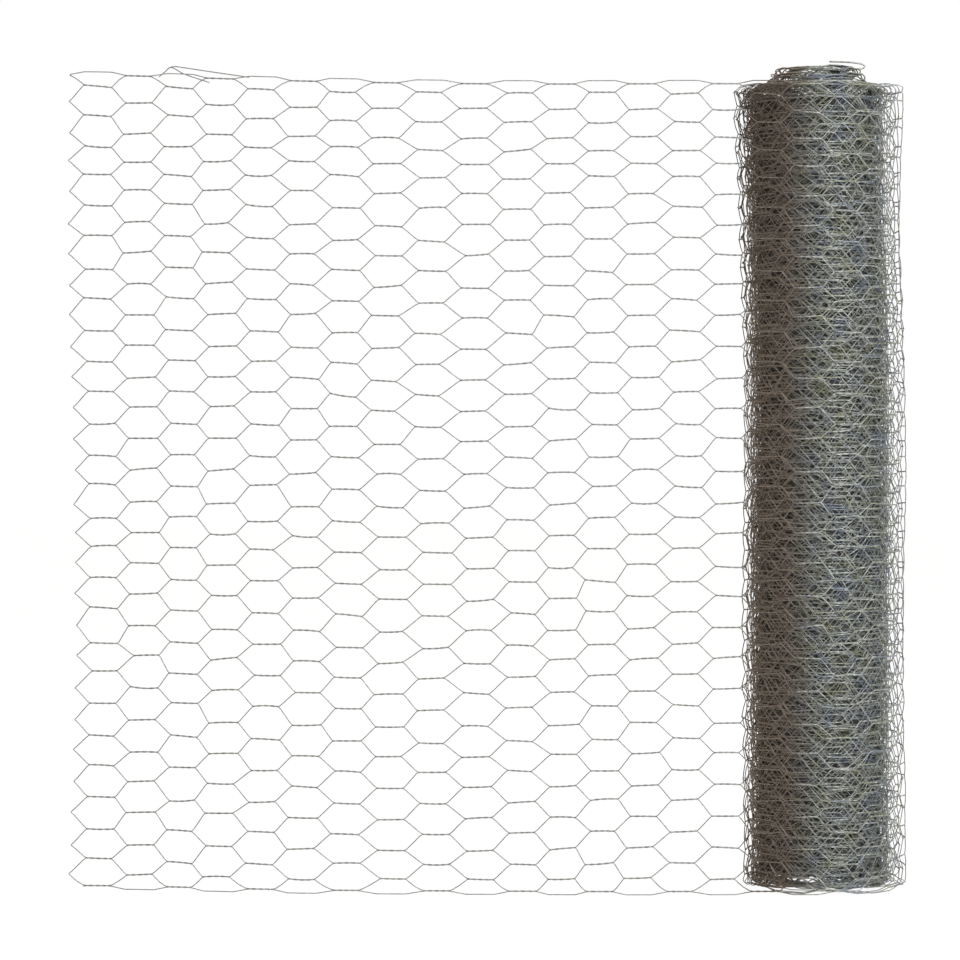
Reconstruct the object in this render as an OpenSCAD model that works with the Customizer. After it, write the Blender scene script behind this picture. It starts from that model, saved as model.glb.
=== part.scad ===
// Roll of hexagonal wire netting, standing on its end, with its last stretch pulled out flat beside it.
// Origin: the middle of the footprint, at floor level. +Z runs up the roll's axis, -X runs along the
// flat stretch to its cut end, and -Y is the side of the roll that the flat stretch leaves from.

/* [Netting] */
// Width of the netting from selvage to selvage, which is also the roll's height
netting_w = 1000; // [600:10:1500]
// Diameter of one wire; a twist of two wires is twice as wide
wire_d = 1; // [0.6:0.1:1.4]
// Mesh size, from one twist to the next across the width
mesh_size = 37.8; // [30:0.1:50]
// Length of one twist
twist_l = 32.5; // [25:0.1:42]
// Distance along the netting between one column of twists and the next
column_gap = 18.1; // [10:0.1:25]

/* [Flat stretch] */
// Length of the flat stretch, from its cut end to where it meets the roll
stretch_l = 930; // [600:1:1400]

/* [Roll] */
// Diameter of the bore down the middle of the roll
bore_d = 44; // [24:1:80]
// Number of tight turns
tight_turns = 38; // [10:1:44]
// Radial distance from one tight turn to the next
tight_pitch = 1.75; // [1.5:0.01:4]
// Number of loose turns outside the tight ones
loose_turns = 2; // [1:1:4]
// Radial distance from one loose turn to the next
loose_pitch = 6.8; // [4:0.1:14]
// How far the middle turns have slid up out of the roll
core_lift = 20; // [0:1:40]
// Width of the outer band of tight turns over which that slide fades away
core_slope_w = 24; // [5:1:50]
// Depth of the grooves that part the tight turns, on both ends
tight_groove = 6; // [2:0.5:12]
// Depth of the grooves that part the loose turns, on both ends
loose_groove = 60; // [10:5:200]

/* [Hidden] */

// Two wires side by side, which is how thick a twist and a wrapped selvage are.
twist_w = 2 * wire_d;

bore_r = bore_d / 2;
tight_r = bore_r + wire_d + (tight_turns - 1) * tight_pitch;
roll_r = tight_r + loose_turns * loose_pitch;
turns = tight_turns + loose_turns;

half_mesh = mesh_size / 2;
column_pitch = twist_l + column_gap;
lines = floor(netting_w / half_mesh);
edge_gap = (netting_w - (lines - 1) * half_mesh) / 2;

roll_x = (stretch_l - roll_r) / 2;
roll_y = wire_d / 2;
sheet_y = roll_y - roll_r;

cut_end_x = roll_x - stretch_l;
first_column_x = cut_end_x + slant_edge(half_mesh) + column_gap + twist_l / 2;
columns = floor((roll_x - first_column_x) / column_pitch) + 1;
join_column = round(columns / 2);
join_x = column_x(join_column) - column_pitch / 2;

zinc = [0.58, 0.60, 0.59];

// Outer radius of a turn, counted from the bore.
function turn_r(i) = bore_r + wire_d + min(i, tight_turns - 1) * tight_pitch
    + max(i + 1 - tight_turns, 0) * loose_pitch;

// How far a turn has slid up: all the way in the middle, and not at all from the last tight turn outwards.
function slid(r) = let (s = (r - tight_r + core_slope_w) / core_slope_w)
    core_lift * (0.5 + 0.5 * cos(180 * min(max(s, 0), 1)));

// Depth of the groove outside a turn.
function groove(i) = i < tight_turns - 1 ? tight_groove : loose_groove;

// One end of the roll's section, from the bore outwards: a rim one wire thick for each turn, and a groove
// after each but the last. face is 1 on the upper end and -1 on the lower one, and z is the netting's edge.
function end_profile(z, face) = [
    for (i = [0:turns - 1])
        let (r = turn_r(i), top = z + slid(r), groove_z = top - face * groove(i))
        each concat(
            [[r - wire_d, top], [r, top]],
            i < turns - 1 ? [[r, groove_z], [turn_r(i + 1) - wire_d, groove_z]] : []
        )
];

function reversed(list) = [for (i = [len(list) - 1:-1:0]) list[i]];

// Middle of a column of twists, counted from the cut end.
function column_x(k) = first_column_x + k * column_pitch;

// Height of a line of twists and cells, counted from the floor.
function line_z(j) = edge_gap + j * half_mesh;

// Every second place on a line is a cell, and the places between are twists.
function has_cell(k, j) = (j + k) % 2 == 0;

// Half the width of a slanting wire that rises by height, measured along the netting.
function slant_edge(height) = wire_d * norm([column_gap, height]) / (2 * height);

// Where a slanting wire's inner edge meets a bar of twisted wires, measured from the middle of the column.
function corner_x(height, bar_edge) = twist_l / 2 + column_gap * bar_edge / height - slant_edge(height);

// The opening of a whole cell. At a selvage the wire is wrapped round it, inside the netting's edge.
module cell(k, j) {
    below = j == 0 ? edge_gap : half_mesh;
    above = j == lines - 1 ? edge_gap : half_mesh;
    bar_below = j == 0 ? twist_w : twist_w / 2;
    bar_above = j == lines - 1 ? twist_w : twist_w / 2;
    tip = twist_l / 2 + column_gap - slant_edge(half_mesh);
    low = corner_x(below, bar_below);
    high = corner_x(above, bar_above);
    translate([column_x(k), line_z(j)])
        polygon([
            [-low, bar_below - below], [low, bar_below - below], [tip, 0],
            [high, above - bar_above], [-high, above - bar_above], [-tip, 0]
        ]);
}

// The opening of a half cell, between the nearest twist of a column and the bare selvage.
module edge_cell(k) {
    wide = corner_x(edge_gap, edge_gap - wire_d);
    narrow = corner_x(edge_gap, twist_w / 2);
    translate([column_x(k), 0])
        polygon([
            [-wide, wire_d], [wide, wire_d],
            [narrow, edge_gap - twist_w / 2], [-narrow, edge_gap - twist_w / 2]
        ]);
}

// The netting's outline. Its cut end runs out to the bend of the wires at every cell and back at every twist.
module outline(from_x, to_x) {
    back_x = column_x(0) - twist_l / 2 - slant_edge(half_mesh);
    cut_end = [for (j = [lines:-1:-1])
        [has_cell(0, j) ? cut_end_x : back_x, min(max(line_z(j), 0), netting_w)]];
    straight_end = [[from_x, netting_w], [from_x, 0]];
    polygon(concat(from_x > cut_end_x ? straight_end : cut_end, [[to_x, 0], [to_x, netting_w]]));
}

// Flat netting with the cells of some of its columns, cut off at both ends of its outline.
module flat_netting(from_column, to_column, from_x, to_x) {
    translate([0, sheet_y, 0])
        rotate([90, 0, 0])
            linear_extrude(wire_d)
                difference() {
                    outline(from_x, to_x);
                    for (k = [from_column:to_column]) {
                        for (j = [0:lines - 1]) {
                            if (has_cell(k, j)) cell(k, j);
                        }
                        if (has_cell(k, 1)) edge_cell(k);
                        if (has_cell(k, lines)) translate([0, netting_w]) mirror([0, 1]) edge_cell(k);
                    }
                }
}

// The turns, as one solid with its bore, standing on the loose turns.
module rolled_netting() {
    color(zinc)
        translate([roll_x, roll_y, 0])
            rotate_extrude($fn = 180)
                polygon(concat(end_profile(0, -1), reversed(end_profile(netting_w, 1))));
}

// The half of the flat stretch that leaves the roll.
module flat_netting_inner() {
    color(zinc) flat_netting(join_column - 1, columns, join_x, roll_x);
}

// The half of the flat stretch that ends in cut wires.
module flat_netting_outer() {
    color(zinc) flat_netting(0, join_column, cut_end_x, join_x);
}

rolled_netting();
flat_netting_inner();
flat_netting_outer();
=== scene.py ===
import math
import bpy
import numpy as np
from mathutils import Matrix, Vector


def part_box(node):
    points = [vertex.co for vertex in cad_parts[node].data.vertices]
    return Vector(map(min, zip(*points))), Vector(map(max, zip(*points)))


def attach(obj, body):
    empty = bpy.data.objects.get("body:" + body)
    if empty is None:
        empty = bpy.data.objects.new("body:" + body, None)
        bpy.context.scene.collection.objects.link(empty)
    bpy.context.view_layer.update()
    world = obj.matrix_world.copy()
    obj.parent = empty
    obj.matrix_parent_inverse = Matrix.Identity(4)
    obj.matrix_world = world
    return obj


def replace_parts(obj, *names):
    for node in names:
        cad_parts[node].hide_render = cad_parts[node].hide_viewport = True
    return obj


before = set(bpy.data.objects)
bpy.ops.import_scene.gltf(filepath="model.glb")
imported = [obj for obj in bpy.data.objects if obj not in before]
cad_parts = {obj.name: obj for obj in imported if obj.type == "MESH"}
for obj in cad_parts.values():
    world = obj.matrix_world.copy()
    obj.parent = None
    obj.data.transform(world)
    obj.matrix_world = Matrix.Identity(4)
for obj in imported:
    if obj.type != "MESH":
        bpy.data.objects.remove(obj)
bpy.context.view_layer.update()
mm = 0.001

# the CAD says where the cut end and the roll's axis are, and how wide the netting is
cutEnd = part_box("flat_netting_outer")[0]
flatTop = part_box("flat_netting_inner")[1]     # its right end is in line with the roll's axis
rollLow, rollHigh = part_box("rolled_netting")

# The netting is worked out as if it lay flat: u runs from the cut end into the roll, v up from the lower
# selvage, w out of the sheet. Twists stand in columns across the netting and on lines along it.
netting = {
    "width": round(flatTop[2], 6),
    "wire": 1.0 * mm,
    "meshSize": 37.8 * mm,        # from twist to twist across the netting
    "twistLength": 32.8 * mm,
    "columnGap": 18.3 * mm,       # slanting wires between two columns of twists
    "halfTurns": 4,               # how often the two wires of a twist change sides
    "clearance": 1.02,            # how far apart those two wires lie, against touching
    "bend": 1.1 * mm,             # radius of the folds at the cut end
    "selvageStart": 3 * mm,       # where the lower selvage's cut end is, before the fold above it
    "selvagePull": 4.0 * mm,      # selvages are drawn in where a wire is wrapped round them
}

# plan of the roll, seen from above: the netting arrives at its front and winds on anticlockwise
roll = {
    "x": round(flatTop[0], 6),
    "y": round((rollLow[1] + rollHigh[1]) / 2, 6),
    "stretch": round(flatTop[0] - cutEnd[0], 6),
    "outer": 101.4 * mm,          # radius at which the netting arrives
    "turns": 39,
    "looseTurns": 5.5,            # turns over which the loose ones draw in to the tight ones
    "spread": 15.3 * mm,          # how much farther out the first of them stands
    "outerPitch": 0.83 * mm,      # from one turn to the next in the outer tight turns, the tightest ones
    "innerPitch": 2.90 * mm,
    "innerTurns": 16,
    "offset": 1.5 * mm,           # how far right of the CAD's axis the turns lie
    "shift": -4.1 * mm,           # how far left of the loose turns the tight ones lie
    "shiftGrows": (0.3, 6),       # the turns over which they get there, and then come back
    "shiftFades": (19, 28),
    "lean": -7.5 * mm,            # how far the top of the roll leans to the left
    "leanFrom": 0.62,             # part of the height at which that starts
    "looseFor": 2.2,              # turns over which the outer ones' play dies away
    "looseWaves": 1.1 * mm,       # how far the loose turns stray in and out
    "tightWaves": 0.4 * mm,
    "flatWaves": 2.2 * mm,        # the same in the flat stretch
    "flare": 3.5 * mm,            # how far the outer turns stand out at the top
    "flareLeft": 2 * mm,          # and the first turn on its left, on top of that
    "flareFrom": 0.82,            # part of the height at which that starts
    "foot": 1.5 * mm,             # height of the lower selvage above the floor
    "endFoot": 7 * mm,            # how much higher the lower selvage is at the cut end
    "endTop": 11 * mm,            # and the upper one
    "backLift": 3 * mm,           # how high the loose turns ride up: twice this at the back, 0 at the front
    "slideBottom": 6 * mm,        # how far the turns inside them have slid up, at the bottom
    "slideTop": 1.5 * mm,         # and at the top
    "lift": 25 * mm,              # how much more the middle has slid up, at the top
    "domeOuter": 74 * mm,         # radii between which that grows
    "domeInner": 50 * mm,
    "mattedTurn": 18,             # the turn from which on a sleeve backs the netting
}


def smooth(low, high, x):
    # 0 below low, 1 above high, and an S curve between
    t = np.clip((x - low) / (high - low), 0, 1)
    return t * t * (3 - 2 * t)


def waves(seed, lengthU, lengthV, count=6):
    # a wandering value about 1 high: a sum of sines, each with a random direction, length and phase
    rng = np.random.default_rng(seed)
    ku = 2 * math.pi / lengthU * rng.uniform(0.5, 1.6, count)
    kv = 2 * math.pi / lengthV * rng.uniform(-1.5, 1.5, count)
    phase = rng.uniform(0, 2 * math.pi, count)
    size = rng.uniform(0.5, 1, count)
    size = size / np.sqrt((size ** 2).sum() / 2)

    def value(u, v):
        total = 0
        for n in range(count):
            total = total + size[n] * np.sin(ku[n] * u + kv[n] * v + phase[n])
        return total
    return value


# radius of the spiral at each point of the winding, and the netting used up to there: the radius falls by
# one pitch a turn, and the loose turns stand farther out by an S curve that fades over the first turns
turnGrid = np.linspace(0, roll["turns"], 16000)
innerStart = roll["turns"] - roll["innerTurns"]
radiusGrid = (roll["outer"] - roll["spread"] * smooth(-0.2, roll["looseTurns"], turnGrid)
              - roll["outerPitch"] * (np.clip(turnGrid, roll["looseTurns"], innerStart) - roll["looseTurns"])
              - roll["innerPitch"] * np.maximum(turnGrid - innerStart, 0))
usedGrid = np.concatenate([[0], np.cumsum(np.diff(turnGrid) * math.pi * (radiusGrid[1:] + radiusGrid[:-1]))])
nettingLength = roll["stretch"] + usedGrid[-1]

# seeds, and wavelengths in metres along the netting and across it
flatWaves = waves(3, 0.62, 0.9)
looseWaves = waves(4, 0.21, 0.5)
tightWaves = waves(5, 0.12, 0.16)
liftWaves = waves(6, 0.30, 4.0)


def carry(u, v, w):
    # carries points of the flat netting to their place, and gives the direction out of the sheet: straight
    # along the flat stretch, then round the spiral at the angle and radius where that much netting is used;
    # waves and the flare are added to the radius, and z goes from the lower selvage to the upper one with v
    inRoll = np.maximum(u - roll["stretch"], 0)
    turn = np.interp(inRoll, usedGrid, turnGrid)
    radius = np.interp(inRoll, usedGrid, radiusGrid)
    angle = 2 * math.pi * turn - math.pi / 2
    isFlat = u < roll["stretch"]
    loose = np.exp(-(turn / roll["looseFor"]) ** 2)
    arrive = smooth(0, 0.12, turn)
    part = v / netting["width"]
    high = smooth(roll["flareFrom"], 1.0, part)
    onLeft = np.exp(-((turn - 0.75) / 0.16) ** 2)   # the first turn passes the roll's left at 0.75
    out = w + arrive * (roll["looseWaves"] * loose * looseWaves(u, v) + roll["tightWaves"] * tightWaves(u, v))
    out = out + arrive * high * (roll["flare"] * np.exp(-(turn / 8) ** 2) + roll["flareLeft"] * onLeft)
    flatOut = w + roll["flatWaves"] * flatWaves(u, v) * smooth(0, 0.35, roll["stretch"] - u)
    shifted = smooth(*roll["shiftGrows"], turn) - smooth(*roll["shiftFades"], turn)
    middle = roll["x"] + arrive * (roll["offset"] + roll["shift"] * shifted
                                   + roll["lean"] * smooth(roll["leanFrom"], 1.0, part))
    x = np.where(isFlat, roll["x"] - roll["stretch"] + u, middle + (radius + out) * np.cos(angle))
    y = np.where(isFlat, roll["y"] - roll["outer"] - flatOut, roll["y"] + (radius + out) * np.sin(angle))
    bottom = roll["foot"] + roll["endFoot"] * np.exp(-(u / 0.24) ** 2)
    top = netting["width"] + roll["endTop"] * np.exp(-(u / 0.25) ** 2)
    slide = roll["slideBottom"] + (roll["slideTop"] - roll["slideBottom"]) * part
    lifted = roll["backLift"] * (1 - np.cos(angle + math.pi / 2)) * loose * smooth(0, 0.2, turn)
    lifted = lifted + slide * smooth(1.0, 5.0, turn) * (1 + 0.3 * liftWaves(u, 0))
    lifted = lifted + roll["lift"] * (0.4 + 0.6 * part) * smooth(roll["domeOuter"], roll["domeInner"], radius)
    z = bottom + (top - bottom) * part + lifted
    outward = [np.where(isFlat, 0, np.cos(angle)), np.where(isFlat, -1, np.sin(angle)), 0 * angle]
    return np.stack([x, y, z], -1), np.stack(outward, -1)


halfMesh = netting["meshSize"] / 2
lineCount = int(netting["width"] // halfMesh)
edgeGap = (netting["width"] - (lineCount - 1) * halfMesh) / 2
columnPitch = netting["twistLength"] + netting["columnGap"]
firstColumn = netting["columnGap"] + netting["twistLength"] / 2
columnCount = int((nettingLength - firstColumn) / columnPitch)


# how far the wires stray from an even netting
stray = {
    "seed": 41,
    "line": 1.1 * mm,             # a whole line of twists
    "column": 0.4 * mm,           # a whole column of them
    "twist": 0.9 * mm,            # one twist
    "tilt": math.radians(2.0),
    "length": 0.05,               # part of a twist's length
    "bow": 0.45 * mm,             # the middle of a twist
    "columnWaves": 2.5 * mm,      # columns, to and fro along their height
    "columnCurve": 5 * mm,        # columns near the cut end, in one S from selvage to selvage
    "crowded": 8.5 * mm,          # columns about crowdedAt, towards the cut end
    "crowdedAt": 0.253,
    "drawn": 7 * mm,              # columns next to the roll, away from it
    "stretched": 10.5 * mm,       # rows above the middle of the flat stretch, up
    "lowRows": 3.5 * mm,          # its rows near the lower selvage, up
    "bendRows": 4 * mm,           # rows where the netting bends into the roll, up and down
    "flatSway": 1.0 * mm,         # lines of the flat stretch, up and down
    "rollSway": 4.0 * mm,         # lines of the roll, on top of that
    "slipped": 8 * mm,            # a turn of the roll, along its neighbours
}


def rowShift(u, part):
    # how far rows have moved up the flat stretch: most at three quarters of its width and hardly at all
    # near the selvages, and where the netting bends into the roll the middle rows rise and the top ones fall
    creep = (0.35 + 0.65 * smooth(0, 0.3, u)) * smooth(1.0, 0.86, part) * smooth(0.05, 0.75, part)
    low = stray["lowRows"] * smooth(0.4, 0.75, u) * (1 - part) * smooth(0, 0.06, part)
    bend = stray["bendRows"] * smooth(0.84, 0.95, u) * np.cos(2 * math.pi * 0.9 * (part - 0.45))
    bend = bend * smooth(0, 0.08, part)
    return (stray["stretched"] * creep + low) * smooth(1.5, 0.95, u) + bend * smooth(1.2, 0.95, u)


def layTwists():
    # centre, tilt, half length and bow of the twist at every column and line: each is its even place, plus
    # sines and waves that fade along u, plus a random step. Row 0 is the lower selvage and the last row the
    # upper one, and column 0 is the fold of the wires at the cut end
    rng = np.random.default_rng(stray["seed"])
    columns = np.arange(-1, columnCount + 1)
    lines = np.arange(-1, lineCount + 1)
    k, j = np.meshgrid(columns, lines)
    inside = (j >= 0) & (j < lineCount)
    u0 = firstColumn + columns * columnPitch + rng.normal(0, stray["column"], columns.shape)
    crowd = stray["crowded"] * np.exp(-((u0 - stray["crowdedAt"]) / 0.15) ** 2)
    u0 = u0 + 1 * mm - crowd - stray["drawn"] * smooth(0.83, 0.93, u0)
    u0[0] = 0
    u = np.broadcast_to(u0, k.shape).copy()
    v = edgeGap + j * halfMesh
    v = np.where(j < 0, netting["wire"] / 2, v)
    v = np.where(j >= lineCount, netting["width"] - netting["wire"] / 2, v)
    part = v / netting["width"]
    u = u + stray["columnCurve"] * np.sin(2 * math.pi * (part - 0.11)) * np.exp(-u / 0.5)
    u = u + stray["columnWaves"] * waves(11, 0.5, 0.5)(u, v) * smooth(0, 0.4, u)
    u = u + rng.normal(0, stray["twist"], u.shape)
    lineShift = rng.normal(0, stray["line"], lines.shape)[:, None]
    lineTurn = np.stack([waves(100 + n, 2.2, 9)(u0, 0) for n in range(len(lines))])
    v = v + inside * (lineShift * np.exp(-u / 2) + stray["line"] * lineTurn * (1 - np.exp(-u / 2)))
    v = v + inside * rng.normal(0, stray["twist"], u.shape)
    inRoll = smooth(0.95, 1.9, u)
    for m in range(1, 4):
        sway = (stray["flatSway"] + stray["rollSway"] * inRoll) * waves(20 + m, 0.8, 9)(u, 0)
        v = v + sway / m * np.sin(m * math.pi * part) * inside
    slip = stray["slipped"] * inRoll * waves(30, 0.9, 9)(u, 0)
    v = v + slip * smooth(0, 0.09, part) * smooth(1, 0.91, part)
    v = v + rowShift(u, part) * inside
    v = v + netting["selvagePull"] * ((j == -1) & (k % 2 == 0))
    v = v - netting["selvagePull"] * ((j == lineCount) & (k % 2 == 1))
    tilt = np.where(k % 2 == 1, 1.0, -0.8) * stray["tilt"] * np.exp(-u / 0.4)
    tilt = tilt + (rowShift(u + 15 * mm, part) - rowShift(u - 15 * mm, part)) / (30 * mm)
    tilt = (tilt + rng.normal(0, stray["tilt"], u.shape)) * inside
    half = netting["twistLength"] / 2 * (1 + rng.normal(0, stray["length"], u.shape))
    bow = rng.normal(0, stray["bow"], u.shape) * inside
    return u, v, tilt, half, bow


twistU, twistV, twistTilt, twistHalf, twistBow = layTwists()


def wirePaths(first, last, perTwist, perSlant):
    # every wire from one column to another: in a twist it circles its partner at half a wire's distance,
    # a half turn for each change of sides, then it slants to its other neighbour's twist in the next column,
    # easing off next to a selvage; at the cut end two wires leave one point, up and down, on a small arc
    wires = np.arange(-2, lineCount + 1)
    i, k = np.meshgrid(wires, np.arange(first, last + 1), indexing="ij")
    isLow, isHigh = i == -2, i == lineCount
    line = np.where((i + k) % 2 == 1, i, i + 1)
    line = np.where(isLow, -1, np.where(isHigh, lineCount, line))
    side = np.where(line == i, 1.0, -1.0)
    side = np.where(isLow, -1.0, np.where(isHigh, 1.0, side))
    bare = (isLow & (k % 2 == 1)) | (isHigh & (k % 2 == 0))
    reach = (side * ~bare)[..., None] * netting["wire"] / 2 * netting["clearance"]
    at = (line + 1, k + 1)
    t = np.linspace(-1, 1, perTwist + 1)
    hand = np.where(k % 2 == 0, 1.0, -1.0)[..., None]
    phase = (t + 1) / 2 * netting["halfTurns"] * math.pi * hand
    along = t * twistHalf[at][..., None]
    across = reach * np.cos(phase) + twistBow[at][..., None] * (1 - t ** 2)
    cosTilt = np.cos(twistTilt[at])[..., None]
    sinTilt = np.sin(twistTilt[at])[..., None]
    twU = twistU[at][..., None] + along * cosTilt - across * sinTilt
    twV = twistV[at][..., None] + along * sinTilt + across * cosTilt
    twW = reach * np.sin(phase)
    if first < 0:
        swing = (t + 1) / 2 * math.atan2(netting["columnGap"], halfMesh)
        twU[:, 0] = twistU[at][:, :1] + netting["bend"] * (1 - np.cos(swing))
        twV[:, 0] = twistV[at][:, :1] + side[:, :1] * netting["bend"] * np.sin(swing)
        twW[:, 0] = 0
        twU[0, 0] = twU[0, 1, 0] - netting["selvageStart"] + (t + 1) * mm
        twV[0, 0] = twV[0, 1, 0]
    f = (1 - np.cos(math.pi * np.arange(1, perSlant) / perSlant)) / 2
    isNetting = ((i[:, 1:] > -2) & (i[:, 1:] < lineCount))[..., None]
    toSelvage = ((line[:, 1:] == -1) | (line[:, 1:] == lineCount))[..., None] & isNetting
    fromSelvage = ((line[:, :-1] == -1) | (line[:, :-1] == lineCount))[..., None] & isNetting
    rise = np.where(toSelvage, 1 - (1 - f) ** 1.5, f - 0.03 * np.sin(2 * math.pi * f))
    rise = np.where(fromSelvage, f ** 1.25, rise)
    slU = twU[:, :-1, -1:] + (twU[:, 1:, :1] - twU[:, :-1, -1:]) * f
    slV = twV[:, :-1, -1:] + (twV[:, 1:, :1] - twV[:, :-1, -1:]) * rise
    parts = []
    for tw, sl in ((twU, slU), (twV, slV), (twW, np.zeros_like(slU))):
        whole = np.concatenate([tw[:, :-1], sl], -1).reshape(len(wires), -1)
        parts.append(np.concatenate([whole, tw[:, -1, :1]], -1))
    return parts


def tubes(points, outward, radius, sides):
    # a round profile carried along all the paths at once; each ring stands square to its path, and the
    # profile is widened so that a tube with few sides looks as wide as the round wire
    ahead = np.empty_like(points)
    ahead[:, 1:-1] = points[:, 2:] - points[:, :-2]
    ahead[:, 0] = points[:, 1] - points[:, 0]
    ahead[:, -1] = points[:, -1] - points[:, -2]
    ahead /= np.linalg.norm(ahead, axis=-1, keepdims=True)
    away = outward - (outward * ahead).sum(-1, keepdims=True) * ahead
    away /= np.linalg.norm(away, axis=-1, keepdims=True)
    across = np.cross(ahead, away)
    wide = radius * math.pi / (sides * math.sin(math.pi / sides))
    a = 2 * math.pi * np.arange(sides) / sides
    ring = away[..., None, :] * np.cos(a)[:, None] + across[..., None, :] * np.sin(a)[:, None]
    verts = points[..., None, :] + wide * ring
    count, length = points.shape[:2]
    index = np.arange(count * length * sides).reshape(count, length, sides)
    here, there = index[:, :-1], index[:, 1:]
    quads = np.stack([here, np.roll(here, -1, 2), np.roll(there, -1, 2), there], -1).reshape(-1, 4)
    caps = np.concatenate([index[:, 0, ::-1], index[:, -1]])
    return verts.reshape(-1, 3), quads, caps


def sleeve(columns=72, rows=60, wall=1 * mm, bottomGap=18 * mm, topGap=16 * mm):
    # a thin closed wall, carried like one turn of netting: its outer face going up, and its inner face, the
    # wall's thickness inside it, coming down. It stands for the netting behind it, too matted to tell apart
    # its material paints it in shade, as the deep turns it stands for lie in shade
    a = np.interp(roll["mattedTurn"] + np.arange(columns) / columns, turnGrid, usedGrid) + roll["stretch"]
    u, v = np.meshgrid(a, np.linspace(bottomGap, netting["width"] - topGap, rows), indexing="ij")
    outer, inner = carry(u, v, 0 * u)[0], carry(u, v, 0 * u - wall)[0]
    loop = np.concatenate([outer, inner[:, ::-1]], 1)
    index = np.arange(columns * 2 * rows).reshape(columns, 2 * rows)
    there = np.roll(index, -1, 0)
    quads = np.stack([index, there, np.roll(there, -1, 1), np.roll(index, -1, 1)], -1).reshape(-1, 4)
    return loop.reshape(-1, 3), quads, np.zeros((0, 3), int)


def looseEnd(knots, count=6):
    # one wire: a Catmull-Rom curve through a few knots, which are given in mm. Between two of
    # them it is the cubic that leaves and arrives in the direction of the line past each knot's neighbours
    knots = np.array([knots[0]] + knots + [knots[-1]], float) * mm
    t = np.linspace(0, len(knots) - 3, count * (len(knots) - 3) + 1)
    n = np.minimum(t.astype(int), len(knots) - 4)
    f = (t - n)[:, None]
    a, b, c, d = knots[n], knots[n + 1], knots[n + 2], knots[n + 3]
    curve = b + f * (c - a) / 2 + f ** 2 * (a - 2.5 * b + 2 * c - d / 2)
    curve = curve + f ** 3 * (1.5 * (b - c) + (d - a) / 2)
    return curve[None]


def meshPiece(name, bundles, material):
    # one mesh from several bundles of tubes: each bundle's quads, then its caps
    verts, loops, sizes, base = [], [], [], 0
    for points, quads, caps in bundles:
        verts.append(points)
        loops += [(quads + base).ravel(), (caps + base).ravel()]
        sizes += [np.full(len(quads), 4), np.full(len(caps), caps.shape[1])]
        base += len(points)
    verts, loops, sizes = np.concatenate(verts), np.concatenate(loops), np.concatenate(sizes)
    mesh = bpy.data.meshes.new(name)
    mesh.vertices.add(len(verts))
    mesh.vertices.foreach_set("co", verts.astype(np.float32).ravel())
    mesh.loops.add(len(loops))
    mesh.loops.foreach_set("vertex_index", loops.astype(np.int32))
    mesh.polygons.add(len(sizes))
    mesh.polygons.foreach_set("loop_start", np.concatenate([[0], np.cumsum(sizes)[:-1]]).astype(np.int32))
    mesh.update(calc_edges=True)
    mesh.validate()
    mesh.polygons.foreach_set("use_smooth", sizes == 4)
    mesh.materials.append(material)
    piece = bpy.data.objects.new(name, mesh)
    bpy.context.collection.objects.link(piece)
    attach(piece, "root")
    print(name, "triangles", int((sizes - 2).sum()))
    return piece


def linear(hexColor):
    # sRGB hex to linear
    parts = [int(hexColor[n:n + 2], 16) / 255 for n in (1, 3, 5)]
    return [c / 12.92 if c <= 0.04045 else ((c + 0.055) / 1.055) ** 2.4 for c in parts] + [1]


def addNode(tree, kind, settings=None, links=None):
    # one node with its settings and its links, given as input name or number: value or (node, output)
    node = tree.nodes.new(kind)
    for key, value in (settings or {}).items():
        setattr(node, key, value)
    for key, value in (links or {}).items():
        if isinstance(value, tuple) and isinstance(value[0], bpy.types.Node):
            tree.links.new(value[0].outputs[value[1]], node.inputs[key])
        else:
            node.inputs[key].default_value = value
    return node


# hot-dip galvanised steel wire, weathered: the zinc has gone dull and mottled, paler where it is clean and
# bluer or greener in patches, and on the roll's left a painted warm shade tints it brown, as that side gets
# less and warmer light
wireFinish = {
    "pale": "#d6d9d5",
    "dull": "#a3a8a4",
    "soiled": "#858a87",          # on the flat stretch
    "blue": "#919db2",
    "olive": "#a8a987",
    # painted warm shade for the roll's left, kept pale inside the roll as painted light against the shade
    # between the turns
    "brown": "#bdb2a8",
    "darkWarmShade": "#786d63",       # painted warm shade on the outermost turns, darker there to hold back the key light on them
    "shade": "#383936",           # painted shade between matted strands and over the whole sleeve
    "mottle": 5 * mm,             # width of the pale and dull mottling
    "patch": 26 * mm,             # width of the blue and olive patches
    "grain": 1.2 * mm,            # pits in the zinc, drawn coarser than they are so that they show
    "strand": 9 * mm,             # length of matted strands
    "slim": 6,                    # how many times as long as high they are
    "blueAmount": 0.65,
    "oliveAmount": 0.6,
    "calm": 0.7,                  # how much weaker both are on the flat stretch
    "soiledAmount": 0.4,
    "warmShadeAmount": 0.94,
    "shadeAmount": 0.55,
    "flatFrom": (104 * mm, 120 * mm),       # distance from the axis at which the flat stretch starts
    "outermost": (94 * mm, 101 * mm),       # and at which the outermost turns do
    "warmShadeFrom": (-12 * mm, -60 * mm),      # x from the axis at which the painted warm shade sets in
    "brownTo": (-114 * mm, -102 * mm),      # and at which it ends, both from none to full
    "metallic": 0.85,
    "roughness": (0.62, 0.42),    # where it is dull and where it is pale
    "pits": 0.2 * mm,             # their depth
    "mattedMetallic": 0.2,
    "mattedRoughness": 0.9,
    "strandDepth": 1 * mm,
    "bump": 0.35,                 # strength of both reliefs
}


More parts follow.
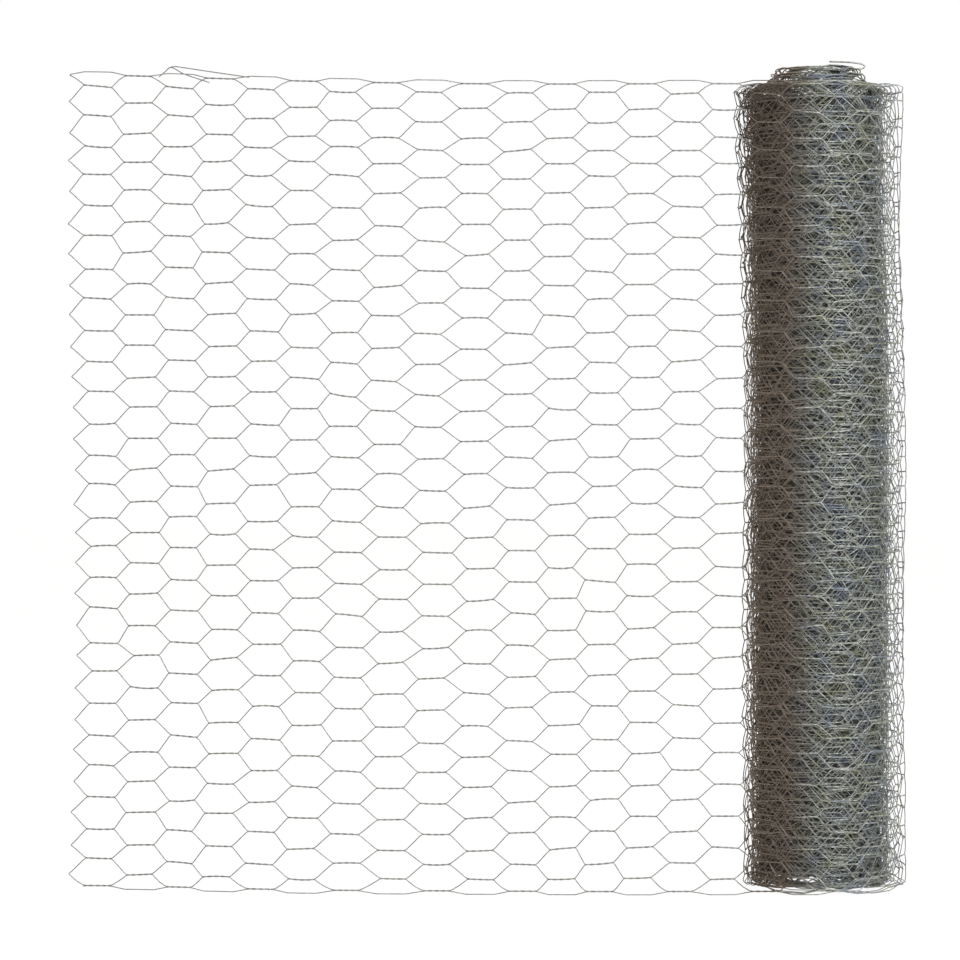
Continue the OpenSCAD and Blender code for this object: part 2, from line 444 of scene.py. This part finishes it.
def galvanisedWire(name, matted):
    material = bpy.data.materials.new(name)
    material.use_nodes = True
    tree = material.node_tree
    tree.nodes.clear()
    colour = {key: linear(value) for key, value in wireFinish.items() if isinstance(value, str)}

    def noise(width, detail):
        return addNode(tree, "ShaderNodeTexNoise", {}, {"Vector": (place, "Object"), "Scale": 1 / width,
                                                        "Detail": detail, "Roughness": 0.55})

    def ramp(source, low, high, top=1.0):
        return addNode(tree, "ShaderNodeMapRange", {"interpolation_type": "SMOOTHSTEP"},
                       {"Value": source, "From Min": low, "From Max": high, "To Min": 0.0, "To Max": top})

    def mix(amount, below, above):
        return addNode(tree, "ShaderNodeMix", {"data_type": "RGBA"}, {0: amount, 6: below, 7: above})

    def times(first, second):
        return addNode(tree, "ShaderNodeMath", {"operation": "MULTIPLY"}, {0: first, 1: second})

    place = addNode(tree, "ShaderNodeTexCoord")
    spread = addNode(tree, "ShaderNodeVectorMath", {"operation": "MULTIPLY_ADD"},
                     {0: (place, "Object"), 1: (1, 1, 0), 2: (-roll["x"], -roll["y"], 0)})
    split = addNode(tree, "ShaderNodeSeparateXYZ", {}, {0: (spread, 0)})
    distance = addNode(tree, "ShaderNodeVectorMath", {"operation": "LENGTH"}, {0: (spread, 0)})
    patches = noise(wireFinish["patch"], 2.0)
    mottling = noise(wireFinish["mottle"], 3.0)
    grain = noise(wireFinish["grain"], 1.0)

    # mottled zinc with its patches, calmer and duller on the flat stretch; a noise is mostly near a half, so
    # a ramp that starts above or below that leaves patches
    zinc = mix((ramp((mottling, "Fac"), 0.35, 0.65), 0), colour["dull"], colour["pale"])
    away = ramp((distance, "Value"), *wireFinish["flatFrom"])
    calm = addNode(tree, "ShaderNodeMath", {"operation": "MULTIPLY_ADD"},
                   {0: (away, 0), 1: -wireFinish["calm"], 2: 1.0})
    bluish = times((ramp((patches, "Fac"), 0.54, 0.66, wireFinish["blueAmount"]), 0), (calm, 0))
    olive = times((ramp((patches, "Fac"), 0.46, 0.34, wireFinish["oliveAmount"]), 0), (calm, 0))
    zinc = mix((bluish, 0), (zinc, 2), colour["blue"])
    zinc = mix((olive, 0), (zinc, 2), colour["olive"])
    zinc = mix((times((away, 0), wireFinish["soiledAmount"]), 0), (zinc, 2), colour["soiled"])

    # painted warm shade on the roll's left, darker on the outermost turns and paler inside
    warmShadeMask = times((ramp((split, "X"), *wireFinish["warmShadeFrom"], wireFinish["warmShadeAmount"]), 0),
                  (ramp((split, "X"), *wireFinish["brownTo"]), 0))
    brown = mix((ramp((distance, "Value"), *wireFinish["outermost"]), 0),
                colour["brown"], colour["darkWarmShade"])
    zinc = mix((warmShadeMask, 0), (zinc, 2), (brown, 2))
    height = (grain, "Fac")

    # matted wires can't be told apart: they are level strands of the same zinc, with painted shade between
    # them
    if matted:
        stretched = addNode(tree, "ShaderNodeVectorMath", {"operation": "MULTIPLY"},
                            {0: (place, "Object"), 1: (1, 1, wireFinish["slim"])})
        strands = addNode(tree, "ShaderNodeTexNoise", {}, {"Vector": (stretched, 0), "Detail": 2.0,
                                                           "Scale": 1 / wireFinish["strand"]})
        gap = ramp((strands, "Fac"), 0.60, 0.46, 0.9)
        zinc = mix((gap, 0), (zinc, 2), colour["shade"])
        # painted shade over the whole sleeve, deep in the roll
        zinc = mix(wireFinish["shadeAmount"], (zinc, 2), colour["shade"])
        height = (strands, "Fac")
    dullRough, paleRough = wireFinish["roughness"]
    worn = addNode(tree, "ShaderNodeMapRange", {},
                   {"Value": (mottling, "Fac"), "To Min": dullRough, "To Max": paleRough})
    relief = addNode(tree, "ShaderNodeBump", {}, {
        "Height": height, "Strength": wireFinish["bump"],
        "Distance": wireFinish["strandDepth" if matted else "pits"]})
    shader = addNode(tree, "ShaderNodeBsdfPrincipled", {}, {
        "Base Color": (zinc, 2), "Normal": (relief, 0),
        "Metallic": wireFinish["mattedMetallic" if matted else "metallic"],
        "Roughness": wireFinish["mattedRoughness"] if matted else (worn, 0)})
    addNode(tree, "ShaderNodeOutputMaterial", {}, {"Surface": (shader, "BSDF")})
    return material


wireMaterial = galvanisedWire("weathered galvanised steel wire with painted shade", False)
mattedMaterial = galvanisedWire("matted galvanised netting", True)


# where the selvage wire ran out in the weaving, its end is laid over the start of the next one
splice = {
    "radius": 0.65 * mm,
    "wires": [                    # knots of each loose end in u, v and w
        [(106, 995, 0.8), (113, 1001, 1.0), (120, 1007, 1.2), (128, 1004, 1.4), (138, 999, 1.2),
         (168, 990, 0.6)],
        [(117, 1005, 2.2), (124, 1008, 2.2), (137, 1007, 1.6), (172, 1003, 1.0), (217, 998, 0.8)],
    ],
}

# the netting's inner end stands up out of the bore, runs to the right and folds back over itself, as thick
# as a twist
hairpin = {
    "radius": 1.0 * mm,
    "sides": 6,
    "facing": (0, -1, 0.2),       # the side on which its round profile starts
    "knots": [                    # x and y from the axis, and z from the netting's upper edge
        (2, -12, 14), (22, -14, 22), (40, -15, 25), (49, -15, 26), (52, -15, 29), (46, -15, 32),
        (30, -14, 34), (8, -12, 35)],
}

pieces = [
    # name, first and last column, sections in a twist and in a slant, sides, width of the wire against its
    # gauge, node. The flat stretch's is wider so that its wires show as dark as real ones, and the deeper
    # turns' because they stand for more turns than they are
    ("flat_stretch_outer", -1, 9, 12, 4, 5, 1.2, "flat_netting_outer"),
    ("flat_stretch_inner", 9, 18, 12, 4, 5, 1.2, "flat_netting_inner"),
    ("loose_turns_outer", 18, 33, 12, 2, 4, 1.05, "rolled_netting"),
    ("loose_turns_inner", 33, 48, 12, 2, 4, 1.05, "rolled_netting"),
    ("tight_turns_outer", 48, 108, 6, 2, 3, 1.05, "rolled_netting"),
    ("tight_turns_middle", 108, 173, 4, 2, 3, 1.15, "rolled_netting"),
    ("tight_turns_deep", 173, 232, 4, 2, 3, 1.3, "rolled_netting"),
    ("tight_turns_inner", 232, columnCount, 2, 2, 3, 1.5, "rolled_netting"),
]
for name, first, last, perTwist, perSlant, sides, wider, node in pieces:
    radius = netting["wire"] / 2 * wider
    bundles = [tubes(*carry(*wirePaths(first, last, perTwist, perSlant)), radius, sides)]
    if first < 0:
        for knots in splice["wires"]:
            u, v, w = np.moveaxis(looseEnd(knots), -1, 0)
            bundles.append(tubes(*carry(u, v, w), splice["radius"], sides))
    if last == columnCount:
        points = looseEnd(hairpin["knots"]) + np.array([roll["x"], roll["y"], netting["width"]])
        bundles.append(tubes(points, np.array(hairpin["facing"]), hairpin["radius"], hairpin["sides"]))
    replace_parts(meshPiece(name, bundles, wireMaterial), node)
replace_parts(meshPiece("matted_turns", [sleeve()], mattedMaterial), "rolled_netting")
print("netting", round(nettingLength, 2), "m", columnCount, "columns")

# plain studio: a white floor and background, soft light from the right and a dimmer, warmer left
studio = {
    "cameraX": -0.0162,
    "cameraZ": 0.510,
    "cameraBack": 3.8,            # from the roll's axis
    "lens": 113.2,
    "right": "#ffffff",
    "left": "#c4b5a2",
    "leftToRight": (-0.9, 0.6),   # x of the direction, over which one turns to the other
    "surround": 0.64,             # strength
    "floorSize": 60,              # metres
    "floorTone": 0.8,             # as the object sees it
    "floorGlow": 0.95,            # as the camera sees it, over a dark ground that takes a faint shadow
    "floorGround": 0.1,
    "aim": (0.4, 0, 0.5),         # what the lamps point at
    "lamps": [                    # name, place, size and power
        ("key", (2.0, -3.3, 1.9), 2.2, 88),
        ("back fill", (0.9, 3.7, 1.9), 2.4, 30),
    ],
}


def makeStudio():
    world = bpy.data.worlds.new("studio")
    bpy.context.scene.world = world
    world.use_nodes = True
    tree = world.node_tree
    tree.nodes.clear()
    place = addNode(tree, "ShaderNodeTexCoord")
    split = addNode(tree, "ShaderNodeSeparateXYZ", {}, {0: (place, "Generated")})
    farLeft, farRight = studio["leftToRight"]
    across = addNode(tree, "ShaderNodeMapRange", {"interpolation_type": "SMOOTHSTEP"},
                     {"Value": (split, "X"), "From Min": farLeft, "From Max": farRight})
    tone = addNode(tree, "ShaderNodeMix", {"data_type": "RGBA"},
                   {0: (across, 0), 6: linear(studio["left"]), 7: linear(studio["right"])})
    white = addNode(tree, "ShaderNodeBackground", {}, {"Color": (1, 1, 1, 1), "Strength": 1.0})
    around = addNode(tree, "ShaderNodeBackground", {}, {"Color": (tone, 2), "Strength": studio["surround"]})
    path = addNode(tree, "ShaderNodeLightPath")
    both = addNode(tree, "ShaderNodeMixShader", {},
                   {0: (path, "Is Camera Ray"), 1: (around, 0), 2: (white, 0)})
    addNode(tree, "ShaderNodeOutputWorld", {}, {"Surface": (both, 0)})

    mesh = bpy.data.meshes.new("floor")
    side = studio["floorSize"] / 2
    corners = [(-side, -side, 0), (side, -side, 0), (side, side, 0), (-side, side, 0)]
    mesh.from_pydata(corners, [], [(0, 1, 2, 3)])
    floor = bpy.data.objects.new("floor", mesh)
    bpy.context.collection.objects.link(floor)
    material = bpy.data.materials.new("white studio floor")
    material.use_nodes = True
    tree = material.node_tree
    tree.nodes.clear()
    matt = addNode(tree, "ShaderNodeBsdfDiffuse", {}, {"Color": (studio["floorTone"],) * 3 + (1,)})
    seen = addNode(tree, "ShaderNodeBsdfPrincipled", {}, {
        "Base Color": (studio["floorGround"],) * 3 + (1,), "Roughness": 1.0, "Specular IOR Level": 0.0,
        "Emission Color": (1, 1, 1, 1), "Emission Strength": studio["floorGlow"]})
    path = addNode(tree, "ShaderNodeLightPath")
    both = addNode(tree, "ShaderNodeMixShader", {}, {0: (path, "Is Camera Ray"), 1: (matt, 0), 2: (seen, 0)})
    addNode(tree, "ShaderNodeOutputMaterial", {}, {"Surface": (both, 0)})
    mesh.materials.append(material)

    for name, spot, size, power in studio["lamps"]:
        light = bpy.data.lights.new(name, "AREA")
        light.size = size
        light.energy = power
        lamp = bpy.data.objects.new(name, light)
        lamp.location = spot
        lamp.rotation_euler = (Vector(studio["aim"]) - lamp.location).to_track_quat("-Z", "Y").to_euler()
        bpy.context.collection.objects.link(lamp)

    camera = bpy.data.cameras.new("camera")
    camera.lens = studio["lens"]
    camera.clip_end = 100
    eye = bpy.data.objects.new("camera", camera)
    eye.location = (studio["cameraX"], roll["y"] - studio["cameraBack"], studio["cameraZ"])
    eye.rotation_euler = (math.pi / 2, 0, 0)
    bpy.context.collection.objects.link(eye)
    bpy.context.scene.camera = eye
    bpy.context.scene.view_settings.view_transform = "Standard"


makeStudio()
print("studio ready")
